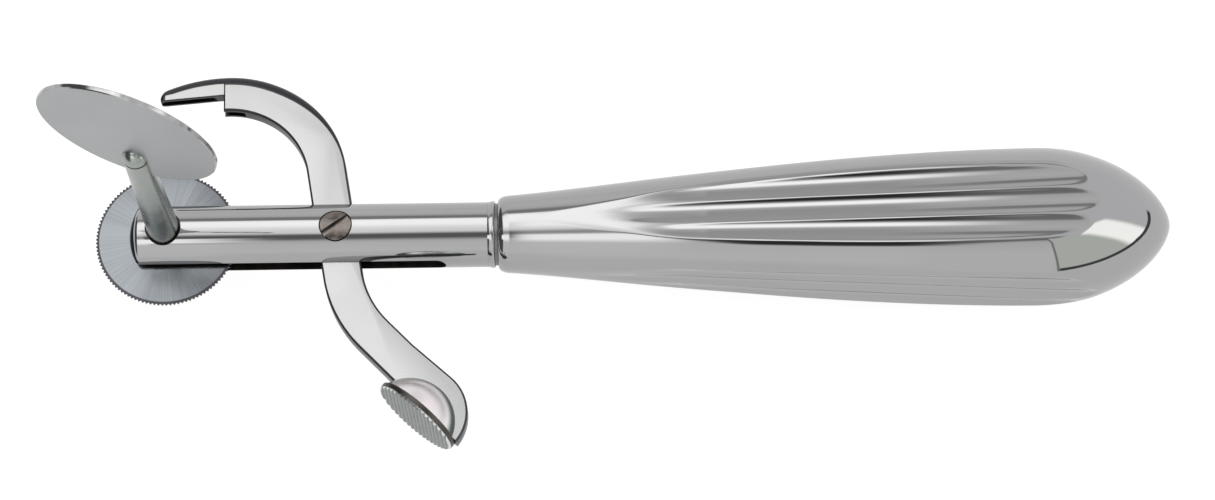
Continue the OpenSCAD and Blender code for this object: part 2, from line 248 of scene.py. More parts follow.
def ground_blade(name, tint):
    """Satin metal with grinding lines that run out from the blade's centre."""
    material = metal(name, tint, 0.17, 0.21, bump=0.05)
    make, link, built = built_nodes(material)
    lines = make("ShaderNodeGroup", node_tree=RADIAL)
    both = combine(make, link, "ADD", [lines.outputs["Lines"], lines.outputs["Fans"]])
    shade = remap(make, link, both, 0.7, 1.3, 0.85, 1.15, "LINEAR")
    scale = make("ShaderNodeVectorMath", operation="SCALE")
    link(built["MIX"].outputs[2], scale.inputs[0])
    link(shade, scale.inputs["Scale"])
    link(scale.outputs["Vector"], built["BSDF_PRINCIPLED"].inputs["Base Color"])
    built["BUMP"].inputs["Strength"].default_value = 0.35
    link(lines.outputs["Lines"], built["BUMP"].inputs["Height"])
    return material


def metal_with_painted_foot_shade(name, tint, painted_shade_tint):
    """Metal with painted shade: it darkens to a second tint where the dome meets the lever's face."""
    material = metal(name, tint, 0.25, 0.36, patch=200)
    make, link, built = built_nodes(material)
    axes = place_axes(make, link)
    height = make("ShaderNodeMath", operation="ABSOLUTE")
    link(axes["Z"], height.inputs[0])
    # mask of the painted shade: low on the dome and towards the lever's side
    low = remap(make, link, height.outputs[0], 3.6 * MM, 2.3 * MM)
    side = remap(make, link, axes["X"], 30 * MM, 37 * MM)
    foot = make("ShaderNodeMix", data_type="RGBA")
    foot.inputs[7].default_value = painted_shade_tint + (1,)
    link(combine(make, link, "MULTIPLY", [low, side]), foot.inputs[0])
    link(built["MIX"].outputs[2], foot.inputs[6])
    link(foot.outputs[2], built["BSDF_PRINCIPLED"].inputs["Base Color"])
    return material


handle_chrome = metal("handle chrome", (0.4, 0.4, 0.405), 0.02, 0.045, bump=0.015)
shaft_chrome = metal("shaft chrome", (0.4, 0.4, 0.405), 0.025, 0.05, bump=0.015)
stem_chrome = metal("stem chrome", (0.35, 0.375, 0.36), 0.2, 0.32, patch=300, mottle=0.12)
disc_satin = metal("disc satin", (0.392, 0.402, 0.41), 0.3, 0.4, patch=120, scratch=1500, bump=0.06)
disc_rim = metal("disc rim", (0.4, 0.4, 0.4), 0.08, 0.15, patch=700, mottle=0.6)
lever_satin = metal("lever satin", (0.42, 0.425, 0.42), 0.24, 0.34, patch=150, scratch=1200, bump=0.05,
                    mottle=0.12)
# near-black coat for the lever's edges, painted shade
lever_edge_painted_shade = metal("lever edge painted shade", (0.06, 0.06, 0.065), 0.25, 0.35)
pad_satin = metal("pad satin", (0.25, 0.268, 0.262), 0.25, 0.4, patch=900, scratch=2500, bump=0.3,
                  mottle=0.75)
# the dome's back gets a bright tint as painted light, with painted shade at its foot
pad_back_painted_light_and_shade = metal_with_painted_foot_shade("pad back painted light and shade", (0.87, 0.825, 0.832), (0.13, 0.17, 0.155))
pad_glint = metal("pad glint", (0.7, 0.71, 0.7), 0.2, 0.35, patch=600, mottle=0.4)
# near-black steel used as painted shade in slots, bores, grooves and the pad's rim
painted_shade_steel = metal("painted shade steel", (0.09, 0.08, 0.075), 0.3, 0.45, patch=500, mottle=0.2)
joint_gray = metal("joint gray", (0.2, 0.195, 0.19), 0.3, 0.4)
screw_steel = metal("screw steel", (0.19, 0.165, 0.15), 0.2, 0.4, patch=900, scratch=2500, bump=0.5,
                    mottle=0.85)
inner_steel = metal("inner steel", (0.42, 0.42, 0.42), 0.25, 0.4)
blade_steel = ground_blade("blade steel", (0.212, 0.226, 0.24))
# near-black coat for the teeth, painted shade
blade_teeth_painted_shade = metal("blade teeth painted shade", (0.08, 0.08, 0.09), 0.3, 0.4)


# Mesh helpers, in millimetres until a piece is finished

def spin_round(points, axis="Z", steps=96):
    """A closed solid of revolution from (radius, height) points, the first and last on the axis."""
    bm = bmesh.new()
    verts = [bm.verts.new((r, 0, h)) for r, h in points]
    edges = [bm.edges.new(pair) for pair in zip(verts, verts[1:])]
    bmesh.ops.spin(bm, geom=verts + edges, cent=(0, 0, 0), axis=(0, 0, 1), angle=2 * pi, steps=steps,
                   use_merge=True, use_duplicate=False)
    bmesh.ops.remove_doubles(bm, verts=bm.verts, dist=1e-4)
    bmesh.ops.recalc_face_normals(bm, faces=bm.faces)
    if axis == "X":
        spun(bm, 90, "Y")
    return bm


def spun(bm, angle, axis):
    """Turns a mesh about an axis through the origin, by degrees."""
    bmesh.ops.rotate(bm, cent=(0, 0, 0), matrix=Matrix.Rotation(radians(angle), 3, axis), verts=bm.verts)


def moved(bm, x, y, z):
    bmesh.ops.translate(bm, vec=(x, y, z), verts=bm.verts)


def only(kind, result):
    """The vertices or edges among the geometry that an operator made."""
    return [g for g in result["geom"] if isinstance(g, kind)]


def slab(outline, low, high):
    """A flat plate between two heights from its outline."""
    bm = bmesh.new()
    face = bm.faces.new([bm.verts.new((p[0], p[1], low)) for p in outline])
    side = bmesh.ops.extrude_face_region(bm, geom=[face])
    bmesh.ops.translate(bm, vec=(0, 0, high - low), verts=only(bmesh.types.BMVert, side))
    bmesh.ops.recalc_face_normals(bm, faces=bm.faces)
    return bm


def box(low, high):
    bm = bmesh.new()
    bmesh.ops.create_cube(bm, size=1.0)
    size = [b - a for a, b in zip(low, high)]
    bmesh.ops.scale(bm, vec=size, verts=bm.verts)
    moved(bm, *((a + b) / 2 for a, b in zip(low, high)))
    return bm


def rod(radius, low, high, steps=96, at=(0, 0)):
    bm = spin_round([(0, low), (radius, low), (radius, high), (0, high)], steps=steps)
    moved(bm, at[0], at[1], 0)
    return bm


def to_object(bm, name):
    mesh = bpy.data.meshes.new(name)
    bm.to_mesh(mesh)
    bm.free()
    thing = bpy.data.objects.new(name, mesh)
    bpy.context.scene.collection.objects.link(thing)
    return thing


def carve(bm, steps):
    """Adds, cuts or keeps solids: steps is a list of (operation, bmesh)."""
    body = to_object(bm, "body")
    tools = []
    for operation, tool in steps:
        other = to_object(tool, "tool")
        change = body.modifiers.new("carve", "BOOLEAN")
        change.operation = operation
        change.solver = "EXACT"
        change.object = other
        tools.append(other)
    shaped = body.evaluated_get(bpy.context.evaluated_depsgraph_get())
    result = bmesh.new()
    result.from_mesh(shaped.to_mesh())
    shaped.to_mesh_clear()
    for thing in [body] + tools:
        bpy.data.objects.remove(thing)
    bmesh.ops.remove_doubles(result, verts=result.verts, dist=1e-4)
    return result


def finish_piece(name, bm, material, body, nodes, sharp=32, coats=()):
    """Makes the finished object; each coat is a material and a test that picks the faces it covers."""
    bm.normal_update()
    for face in bm.faces:
        face.material_index = 0
        for i, (coat, test) in enumerate(coats):
            if test(face):
                face.material_index = i + 1
                break
    bmesh.ops.scale(bm, vec=(MM, MM, MM), verts=bm.verts)
    piece = to_object(bm, name)
    for finish in [material] + [coat for coat, test in coats]:
        piece.data.materials.append(finish)
    piece.data.shade_smooth()
    piece.data.set_sharp_from_angle(angle=radians(sharp))
    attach(piece, body)
    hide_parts(*nodes)
    return piece


# The handle's form

def ease(t):
    t = min(1.0, max(0.0, t))
    return t * t * (3 - 2 * t)


def soft_min(a, b, k):
    """The smaller of two heights, with the corner between them rounded over a width set by k."""
    h = max(k - abs(a - b), 0.0) / k
    return min(a, b) - h * h * k / 4


def round_radius(x):
    if x < belly_x:
        return neck_r + (belly_r - neck_r) * sin(pi / 2 * (x - handle_x) / front_len) ** swell
    share = min(1.0, (x - belly_x) / nose_len)
    return max(0.0005, belly_r * sqrt(1 - share * share) ** swell)


panel_a = Vector((panel_full_x, panel_share * round_radius(panel_full_x)))
panel_b = Vector((belly_x, panel_share * belly_r))
panel_chord = panel_b - panel_a
panel_mid = (panel_a + panel_b) / 2
panel_in = Vector((panel_chord.y, -panel_chord.x)).normalized()
panel_centre = panel_mid + panel_in * sqrt(arc_r ** 2 - panel_chord.length_squared / 4)
def panel_height(x):
    """Height of a panel's surface; in front it grows out of the round neck."""
    if x < panel_full_x:
        share = ease((x - panel_start) / (panel_full_x - panel_start))
        return round_radius(x) * (1.005 - (1.005 - panel_share) * share)
    return panel_centre.y + sqrt(arc_r ** 2 - (x - panel_centre.x) ** 2)


def flute_depth(x, start):
    """Depth of a flute below the panel; its first 25 mm run shallower, so that it fades in."""
    start += 4 * ease((x - start) / 25)
    return (x - start) * (rear_x - x) / (2 * arc_r) + flute_end * (x - start) / (rear_x - start)


# How the edge between panel and round softens towards the nose: more rounding, where, over what length.
PANEL_EDGE = ((0.12, 48, 14), (0.5, 68, 14), (0.2, 118, 10))


class Section:
    """The handle's cross-section at one station, as a radius for each angle from a panel's middle."""

    def __init__(self, x):
        self.round_r = round_radius(x)
        self.flat = panel_height(x)
        self.soft = 0.02 + sum(more * ease((x - at) / run) for more, at, run in PANEL_EDGE)
        pitch = flute_pitch + (x - fan_x) * tan(radians(flute_fan))
        self.flutes = [(0.0, self.flat - flute_depth(x, inner_start) + flute_r),
                       (pitch, self.flat - flute_depth(x, outer_start) + flute_r)]

    def hollow(self, a, y, z):
        dot = y * sin(a) + z * cos(a)
        gap = dot * dot - (y * y + z * z - flute_r ** 2)
        return dot - sqrt(gap) if gap > 0 else 1e9

    def radius(self, a):
        plain = soft_min(self.round_r, self.flat / cos(a), self.soft)
        inner, outer = (self.hollow(a, y, z) for y, z in self.flutes)
        return max(0.0, soft_min(plain, soft_min(inner, outer, 0.2), 0.15))


FRONT_ROWS, BACK_ROWS, NOSE_ROWS = 184, 60, 22
PANELS, FLUTED_COLUMNS, EDGE_COLUMNS = 4, 34, 6
back_len, fluted_half = 13.0, 34.0


def handle_stations():
    """Places along the handle: its front, the flutes' rear ends, and the nose by even turns of its curve."""
    first = handle_x + 2 * front_edge
    front = [first + (belly_x - first) * i / FRONT_ROWS for i in range(FRONT_ROWS + 1)]
    back = [belly_x + back_len * i / BACK_ROWS for i in range(1, BACK_ROWS + 1)]
    turn = degrees(asin(back_len / nose_len))
    nose = [belly_x + nose_len * sin(radians(turn + (90 - turn) * i / NOSE_ROWS))
            for i in range(1, NOSE_ROWS + 1)]
    return front + back + nose


def column_angle(step):
    if step <= FLUTED_COLUMNS:
        return radians(fluted_half * step / FLUTED_COLUMNS)
    return radians(fluted_half + (180 / PANELS - fluted_half) * (step - FLUTED_COLUMNS) / EDGE_COLUMNS)


def handle_piece():
    edge = []
    for a in (0, 15, 30, 45, 60, 75):
        rise = 0.09 * (a / 90) ** 2
        edge.append((handle_x + 2 * front_edge * (1 - cos(radians(a))),
                     neck_r - front_edge * (1 - sin(radians(a))) + rise))
    stations = handle_stations()
    rows = len(edge) + len(stations)
    half = FLUTED_COLUMNS + EDGE_COLUMNS
    angles = [column_angle(step) for step in range(half + 1)]
    profile = [[r] * (half + 1) for x, r in edge]
    for x in stations:
        section = Section(x)
        profile.append([section.radius(a) for a in angles])
    places = [x for x, r in edge] + stations
    bm = bmesh.new()
    bmesh.ops.create_grid(bm, x_segments=rows - 1, y_segments=2 * PANELS * half, size=1.0)
    for v in bm.verts:
        i = round((v.co.x + 1) / 2 * (rows - 1))
        j = round((v.co.y + 1) * PANELS * half)
        sector, k = divmod(j, 2 * half)
        step = abs(half - k)
        turn = (angles[step] if k > half else -angles[step]) + sector * 2 * pi / PANELS
        r = profile[i][step]
        v.co = (places[i], r * sin(turn), r * cos(turn))
    bmesh.ops.remove_doubles(bm, verts=bm.verts, dist=1e-3)
    front = [e for e in bm.edges if e.is_boundary]
    for depth in (0.0, 13.5):
        grown = bmesh.ops.extrude_edge_only(bm, edges=front)
        for v in only(bmesh.types.BMVert, grown):
            flat = v.co.yz.normalized() * (plug_r + 0.02)
            v.co = (handle_x + depth, flat.x, flat.y)
        front = [e for e in only(bmesh.types.BMEdge, grown) if e.is_boundary]
    bmesh.ops.edgeloop_fill(bm, edges=front)
    bmesh.ops.recalc_face_normals(bm, faces=bm.faces)
    return finish_piece("fluted_handle", bm, handle_chrome, "frame",
                        ["handle_shell_upper", "handle_shell_lower"], sharp=60)


handle_piece()


# Shaft, collar and pivot screw

def shaft_round(steps=192):
    """The plain rod with its domed end."""
    domed = [4.2 * i / 14 for i in range(15)]
    tip = [(r, tip_round - tip_reach - sqrt(tip_round ** 2 - r ** 2)) for r in domed]
    tip += [(4.34, -3.9), (4.46, -3.74), (4.53, -3.55), (shaft_r, -3.35)]
    return spin_round(tip + [(shaft_r, shoulder_x), (0, shoulder_x)], "X", steps)


def inside_shaft(face):
    """True for the walls of the slot, the bores and the screw's seat."""
    place = face.calc_center_median()
    return place.x < shoulder_x and place.yz.length < shaft_r - 0.35 and place.x > -4.0


def shaft_piece():
    slot = box((-tip_reach - 1, -clear, -half_slot), (slot_reach - half_slot, clear, half_slot))
    slot_end = rod(half_slot, -clear, clear, 48)
    spun(slot_end, 90, "X")
    moved(slot_end, slot_reach - half_slot, 0, 0)
    tang = rod(tang_r, shoulder_x - 0.5, shoulder_x + collar_w + 12.5, 64)
    spun(tang, 90, "Y")
    bm = carve(shaft_round(), [
        ("UNION", tang),
        ("DIFFERENCE", slot),
        ("DIFFERENCE", slot_end),
        ("DIFFERENCE", rod(stem_r + 0.05, 0.5, clear)),
        ("DIFFERENCE", rod(stem_r + 0.25, shaft_r - 1.35, clear)),
        ("DIFFERENCE", rod(pilot_r + 0.05, -clear, -0.5, 64)),
        ("DIFFERENCE", rod(pilot_r + 1.0, -clear, -shaft_r + 1.2, 64)),
        ("DIFFERENCE", rod(pivot_r, -shaft_r + 0.3, clear, 64, (pivot_x, 0))),
        ("DIFFERENCE", rod(head_r + 0.17, shaft_r - 1.25, clear, 96, (pivot_x, 0)))])
    # the slot walls, the bores and the screw's seat are coated as painted shade
    return finish_piece("slotted_shaft", bm, shaft_chrome, "frame", ["shaft"],
                        coats=[(painted_shade_steel, inside_shaft)])


def collar_piece():
    bore = tang_r + 0.02
    peak = collar_r - shaft_r
    joint_x = shoulder_x + collar_w * 0.69
    points = [(bore, shoulder_x)]
    points += [(shaft_r - 0.02 + peak * sin(radians(a)), shoulder_x + collar_w * 0.45 * a / 90)
               for a in range(0, 91, 15)]
    points += [(collar_r - 0.2 * (1 - cos(radians(a))), shoulder_x + collar_w * (0.52 + 0.16 * sin(radians(a))))
               for a in range(15, 91, 15)]
    points += [(4.36, joint_x), (4.36, handle_x), (bore, handle_x), (bore, shoulder_x)]
    bm = spin_round(points, "X", 192)
    return finish_piece("collar_bead", bm, shaft_chrome, "frame", ["shaft_collar"], sharp=50,
                        coats=[(joint_gray, lambda face: face.calc_center_median().x > joint_x - 0.02)])


def screw_piece():
    blank = shaft_round(256)
    head = rod(head_r, shaft_r - 1.22, clear, 96, (pivot_x, 0))
    slot = box((-6, -0.42, shaft_r - 0.7), (6, 0.42, clear))
    spun(slot, 36, "Z")
    moved(slot, pivot_x, 0, 0)
    shank = rod(pivot_r - 0.02, -shaft_r + 0.35, shaft_r - 1, 64, (pivot_x, 0))
    bm = carve(blank, [("INTERSECT", head), ("UNION", shank), ("DIFFERENCE", slot)])
    # the walls of the screw's slot are coated as painted shade
    return finish_piece("pivot_screw_head", bm, screw_steel, "frame", ["pivot_screw"],
                        coats=[(painted_shade_steel, lambda face: abs(face.normal.z) < 0.6)])


shaft_piece()
collar_piece()
screw_piece()


# Blade, stem and disc

def disc_blank(radius, thick, bevel):
    points = [(0, -thick / 2), (radius - bevel, -thick / 2), (radius, -thick / 2 + bevel),
              (radius, thick / 2 - bevel), (radius - bevel, thick / 2), (0, thick / 2)]
    bm = spin_round(points, steps=192)
    spun(bm, 90, "X")
    spun(bm, disc_turn, "Z")
    moved(bm, 0, 0, stem_h - disc_set + disc_r)
    return bm


def disc_piece():
    bm = disc_blank(disc_r, disc_t, 0.12)
    facing = Vector((sin(radians(disc_turn)), -cos(radians(disc_turn)), 0))
    return finish_piece("round_thumb_disc", bm, disc_satin, "cutter", ["thumb_disc"],
                        coats=[(disc_rim, lambda face: abs(face.normal.dot(facing)) < 0.97)])


def stem_piece():
    seat_top = half_slot - 0.05
    points = [(0, seat_top), (stem_r, seat_top), (stem_r, shaft_r)]
    crease = stem_h - 0.5
    points += [(stem_top_r + (stem_r - stem_top_r) * (1 - i / 8), shaft_r + (crease - shaft_r) * i / 8)
               for i in range(1, 9)]
    points += [(stem_top_r - 0.16, crease + 0.12), (stem_top_r - 0.16, crease + 0.3),
               (stem_top_r, crease + 0.42)]
    points += [(stem_top_r * cos(radians(a)), stem_h + stem_top_r * sin(radians(a))) for a in range(4, 89, 7)]
    points.append((0, stem_h + stem_top_r))
    bm = carve(spin_round(points, steps=96), [
        ("UNION", box((-seat_w / 2, -seat_w / 2, -seat_top), (seat_w / 2, seat_w / 2, seat_top + 0.2))),
        ("UNION", rod(pilot_r, -shaft_r + 0.25, -seat_top + 0.2, 64)),
        ("DIFFERENCE", disc_blank(disc_r + 0.01, disc_t + 0.01, 0.05))])

    def in_crease(face):
        place = face.calc_center_median()
        return crease < place.z < crease + 0.42 and place.xy.length > 1

    # the groove under the stem's dome is coated as painted shade
    return finish_piece("tapered_key_stem", bm, stem_chrome, "cutter", ["key_stem"],
                        coats=[(painted_shade_steel, in_crease)])


def blade_piece():
    bm = bmesh.new()
    flat_r, lip = blade_r - 0.5, 0.1
    bmesh.ops.create_circle(bm, cap_ends=True, radius=flat_r, segments=2 * teeth)
    moved(bm, 0, 0, -blade_t / 2)
    rim = list({e for f in bm.faces for e in f.edges})
    for level, toothed in ((lip - blade_t / 2, True), (blade_t / 2 - lip, True), (blade_t / 2, False)):
        grown = bmesh.ops.extrude_edge_only(bm, edges=rim)
        rim = [e for e in only(bmesh.types.BMEdge, grown) if e.is_boundary]
        for v in only(bmesh.types.BMVert, grown):
            turn = round(atan2(v.co.y, v.co.x) / (pi / teeth))
            reach = blade_r - (turn % 2) * tooth_depth if toothed else flat_r
            v.co = (reach * cos(turn * pi / teeth), reach * sin(turn * pi / teeth), level)
    bmesh.ops.edgeloop_fill(bm, edges=rim)
    bmesh.ops.recalc_face_normals(bm, faces=bm.faces)
    half = seat_w / 2
    bm = carve(bm, [("DIFFERENCE", box((-half, -half, -2), (half, half, 2)))])
    # the teeth and the rim's edges are coated near-black as painted shade
    return finish_piece("toothed_blade", bm, blade_steel, "cutter", ["saw_blade"], sharp=20,
                        coats=[(blade_teeth_painted_shade, lambda face: abs(face.normal.z) < 0.995)])


disc_piece()
stem_piece()
blade_piece()


# Guard lever

hw = lever_w / 2
neck_a = 9.4
guard_c = Vector((pivot_x - 15.9, 7.6))
neck_top = guard_c + guard_r * turned(neck_a)
neck_end = neck_top + neck_len * Vector((sin(radians(neck_a)), -cos(radians(neck_a))))
bend_a = 34.6
bend_c = neck_end + bend_r * turned(neck_a)
bend_end = bend_c - bend_r * turned(neck_a + bend_a)
tail_a = neck_a + bend_a - 90
tail_dir = turned(tail_a)
tail_n = Vector((-tail_dir.y, tail_dir.x))
tail_end = bend_end + tail_len * tail_dir
pad_n = turned(pad_turn)
pad_c = tail_end + Vector((1.25, -7.5))
spoon_r, spoon_lift = pad_r + 0.5, 0.7
spoon_c = pad_c - spoon_lift * pad_n
root_x = guard_c.x - 0.35
under_y = guard_c.y + 13.4
closed_c = Vector((pivot_x - pivot_x * cos(radians(close_angle)), pivot_x * sin(radians(close_angle))))


def arc(centre, radius, start, end, steps):
    return [centre + radius * turned(start + (end - start) * i / steps) for i in range(steps + 1)]


def lever_outline(outer_stop, inner_stop):
    """Outline of the arms and the round end behind the pad, with the guard arcs stopped at two angles."""
    shoulder = tail_end + hw * tail_n - 1.5 * tail_dir
    to_shoulder = shoulder - spoon_c
    touch = degrees(atan2(to_shoulder.y, to_shoulder.x)) - degrees(acos(spoon_r / to_shoulder.length))
    chord = degrees(acos((spoon_lift - pad_t) / spoon_r))
    left = bend_end - hw * tail_n
    along = Vector((-pad_n.y, pad_n.x))
    pad_left = pad_r - 1.8
    left_len = ((pad_c - left).dot(along) - pad_left) / tail_dir.dot(along)
    return (arc(guard_c, guard_r + hw, outer_stop, neck_a, 56)
            + arc(bend_c, hw - bend_r, neck_a, neck_a + bend_a, 16)
            + [shoulder]
            + arc(spoon_c, spoon_r, touch, pad_turn + chord, 24)
            + [pad_c - pad_t * pad_n - pad_left * along, left + left_len * tail_dir]
            + arc(bend_c, -bend_r - hw, neck_a + bend_a, neck_a, 16)
            + arc(guard_c, guard_r - hw, neck_a, inner_stop, 48))


TONGUE_ROWS = 48


def tongue_solid():
    """The guard tongue as a row of cross-sections from the arm's end to its rounded tip."""
    tip = tip_x + tip_short
    top_drop, base_rise, narrowing = 0.8, 0.25, 0.4
    arc_y = guard_c.y + guard_r + hw - tongue_arc
    bm = bmesh.new()
    rows = []

    def rounding(length):
        """How far a corner of this length has closed in, from 0 behind it to 1 at the tip."""
        return 1 - sqrt(1 - max(0.0, 1 - (x - tip) / length) ** 2)

    for i in range(TONGUE_ROWS + 1):
        x = tip + (root_x + 0.05 - tip) * (1 - sin(pi / 2 * i / TONGUE_ROWS))
        blunt = rounding(0.9)
        low_blunt = rounding(0.3)
        top = arc_y + sqrt(tongue_arc ** 2 - (x - guard_c.x) ** 2) - top_drop * blunt
        base = under_y - 0.15 + 0.09 * (x - root_x + 8.5) + base_rise * low_blunt
        half = tongue_w / 2 - narrowing * blunt
        reach = min(1.55, 0.68 * (top - base))
        drop = half - 0.06
        side = [(half - 0.12, base), (half, base + 0.12)]
        side += [(half - drop * (1 - cos(radians(a))), top - reach * (1 - sin(radians(a))))
                 for a in range(0, 91, 9)]
        section = side + [(-z, y) for z, y in reversed(side)]
        rows.append([bm.verts.new((x, y, z)) for z, y in section])
    for first, second in zip(rows, rows[1:]):
        for k in range(len(first)):
            bm.faces.new((first[k - 1], first[k], second[k], second[k - 1]))
    bm.faces.new(rows[0])
    bm.faces.new(rows[-1][::-1])
    bmesh.ops.recalc_face_normals(bm, faces=bm.faces)
    return bm


def rounded_plate(outline, half, edge, skip, centre, outer):
    """A plate with rounded rims; the rounding grows wide and deep towards the top of its outer arc."""
    wider, deeper = 4.2, 3.0
    bm = slab(outline, -half, half)
    rims = [e for e in bm.edges if abs(e.verts[0].co.z - e.verts[1].co.z) < 1e-6 and not skip(e)]
    bmesh.ops.bevel(bm, geom=rims, offset=edge, offset_type="OFFSET", segments=6, profile=0.5,
                    affect="EDGES", clamp_overlap=False, material=-1)
    for v in bm.verts:
        out = v.co.to_2d() - centre
        inward = outer - out.length
        down = half - abs(v.co.z)
        if -0.02 < inward < edge + 0.02 and down < edge + 0.02 and out.y > 0:
            share = ease((degrees(atan2(out.y, out.x)) - 10) / 60)
            flat = out.normalized() * (outer - inward * (1 + wider * share))
            height = half - down * (1 + deeper * share)
            v.co = (centre.x + flat.x, centre.y + flat.y, height if v.co.z > 0 else -height)
    bmesh.ops.recalc_face_normals(bm, faces=bm.faces)
    return bm


def lever_piece():
    def at_pad(e):
        return all((v.co.to_2d() - pad_c).dot(pad_n) > -pad_t - 0.05 for v in e.verts)

    far, slope = 30, 0.7

    def end_chamfer(height):
        wedge = box((-0.16, -far, -0.16), (0.16, far, 0.16))
        spun(wedge, 45, "Y")
        spun(wedge, degrees(atan2(slope, far - guard_c.y)), "Z")
        moved(wedge, root_x, guard_c.y, height)
        return wedge

    arm = rounded_plate(lever_outline(104, 104), lever_t / 2, 0.3, at_pad, guard_c, guard_r + hw)
    past_root = slab([(root_x, guard_c.y), (root_x - slope, far), (-10, far), (-10, guard_c.y)], -3, 3)
    bm = carve(arm, [
        ("DIFFERENCE", past_root),
        ("DIFFERENCE", end_chamfer(lever_t / 2)),
        ("DIFFERENCE", end_chamfer(-lever_t / 2)),
        ("UNION", tongue_solid()),
        ("DIFFERENCE", rod(blade_r + 0.4, -groove_w / 2, groove_w / 2, 128, closed_c)),
        ("DIFFERENCE", rod(pivot_r + 0.05, -3, 3, 64, (pivot_x, 0)))])

    # every face that is not flat-topped, and the groove, is coated near-black as painted shade
    def dark(face):
        return abs(face.normal.z) < 0.995 or abs(face.calc_center_median().z) < groove_w / 2 + 0.05

    return finish_piece("curved_guard_lever", bm, lever_satin, "lever", ["guard_lever"],
                        sharp=38, coats=[(lever_edge_painted_shade, dark)])


def pad_piece():
    base = pad_r - 0.3
    dome_r = (base * base + dome_h * dome_h) / 2 / dome_h
    spread = degrees(atan2(base, dome_r - dome_h))
    points = [(0, 0), (base, 0), (pad_r - 0.04, -0.26), (pad_r, -0.36), (pad_r, -pad_t + 0.1),
              (pad_r - 0.1, -pad_t)]
    for i in range(25):
        a = radians(spread * (1 - i / 24))
        points.append((dome_r * sin(a), -pad_t - dome_h + dome_r * (1 - cos(a))))
    bm = spin_round(points, steps=128)
    grooves = bmesh.new()
    count = floor(pad_r / ridge_pitch)
    for i in range(-count, count + 1):
        y = i * ridge_pitch
        w = ridge_pitch * 0.42
        ends = [[grooves.verts.new((s * 2 * pad_r, y + dy, dz))
                 for dy, dz in ((-w, 0.1), (w, 0.1), (0, -ridge_depth))] for s in (-1, 1)]
        grooves.faces.new(ends[0])
        grooves.faces.new(ends[1][::-1])
        for k in range(3):
            grooves.faces.new((ends[0][k], ends[0][k - 1], ends[1][k - 1], ends[1][k]))
    bmesh.ops.recalc_face_normals(grooves, faces=grooves.faces)
    room = box((-lever_t / 2 - 0.005, -20, -30), (lever_t / 2 + 0.005, 20, -pad_t))
    bm = carve(bm, [("DIFFERENCE", grooves), ("DIFFERENCE", room)])
    spun(bm, 90, "Y")
    spun(bm, pad_turn, "Z")
    moved(bm, pad_c.x, pad_c.y, 0)

    def behind(face):
        return (face.calc_center_median().to_2d() - pad_c).dot(pad_n)

    def from_middle(face):
        return (face.calc_center_median() - Vector((pad_c.x, pad_c.y, 0))).length

    def on_rim(face):
        return -pad_t - 0.02 < behind(face) < -0.3 and from_middle(face) > pad_r - 0.15

    def on_bevel(face):
        return -0.28 < behind(face) < -0.04 and from_middle(face) > pad_r - 0.35 and \
            0.3 < face.normal.to_2d().dot(pad_n) < 0.9

    # the dome's back has a bright tint as painted light with painted shade at its foot; the plate's rim is
    # painted shade and its bevel a painted glint
    coats = [(pad_back_painted_light_and_shade, lambda face: behind(face) < -pad_t - 0.02), (painted_shade_steel, on_rim),
             (pad_glint, on_bevel)]
    return finish_piece("serrated_thumb_pad", bm, pad_satin, "lever", ["thumb_pad"], sharp=30,
                        coats=coats)


lever_piece()
pad_piece()

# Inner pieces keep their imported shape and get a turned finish.
for name in ("handle_plug", "spacer_upper", "spacer_lower", "stem_keeper"):
    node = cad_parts[name]
    node.data.materials.clear()
    node.data.materials.append(inner_steel)


# Floor, light and camera

def white_floor():
    bm = bmesh.new()
    bmesh.ops.create_grid(bm, x_segments=1, y_segments=1, size=3.0)
    moved(bm, 0, 0, (-belly_r - 0.2) * MM)
    plane = to_object(bm, "floor")
    material = bpy.data.materials.new("pale floor")
    make, link = blank_nodes(material)
    paper = make("ShaderNodeBsdfDiffuse")
    paper.inputs["Color"].default_value = (0.3, 0.3, 0.3, 1)
    rays = make("ShaderNodeLightPath")
    levels = []
    for ray, level in (("Is Camera Ray", 0.84), ("Is Glossy Ray", 0.66), ("Is Transmission Ray", 0.66)):
        share = make("ShaderNodeMath", operation="MULTIPLY")
        share.inputs[1].default_value = level
        link(rays.outputs[ray], share.inputs[0])
        levels.append(share.outputs[0])
    glow = make("ShaderNodeEmission")
    link(combine(make, link, "MAXIMUM", levels), glow.inputs["Strength"])
    both = make("ShaderNodeAddShader")
    link(paper.outputs[0], both.inputs[0])
    link(glow.outputs[0], both.inputs[1])
    out = make("ShaderNodeOutputMaterial")
    link(both.outputs[0], out.inputs["Surface"])
    plane.data.materials.append(material)


# Brightness of the cards over the handle and the shaft's tip, by the angle from overhead.
HANDLE_CARD = [(-46, 0.5), (-40, 0.2), (-35, 0.05), (-18, 0.05), (-12, 0.6), (-8, 1.6), (-4, 2.2), (4, 2.2),
               (8, 1.3), (13, 0.8), (24, 0.66), (55, 0.7), (80, 0.75)]
TIP_CARD = [(-40, 1.6), (-36, 2.0), (-26, 2.0), (-22, 1.2)]


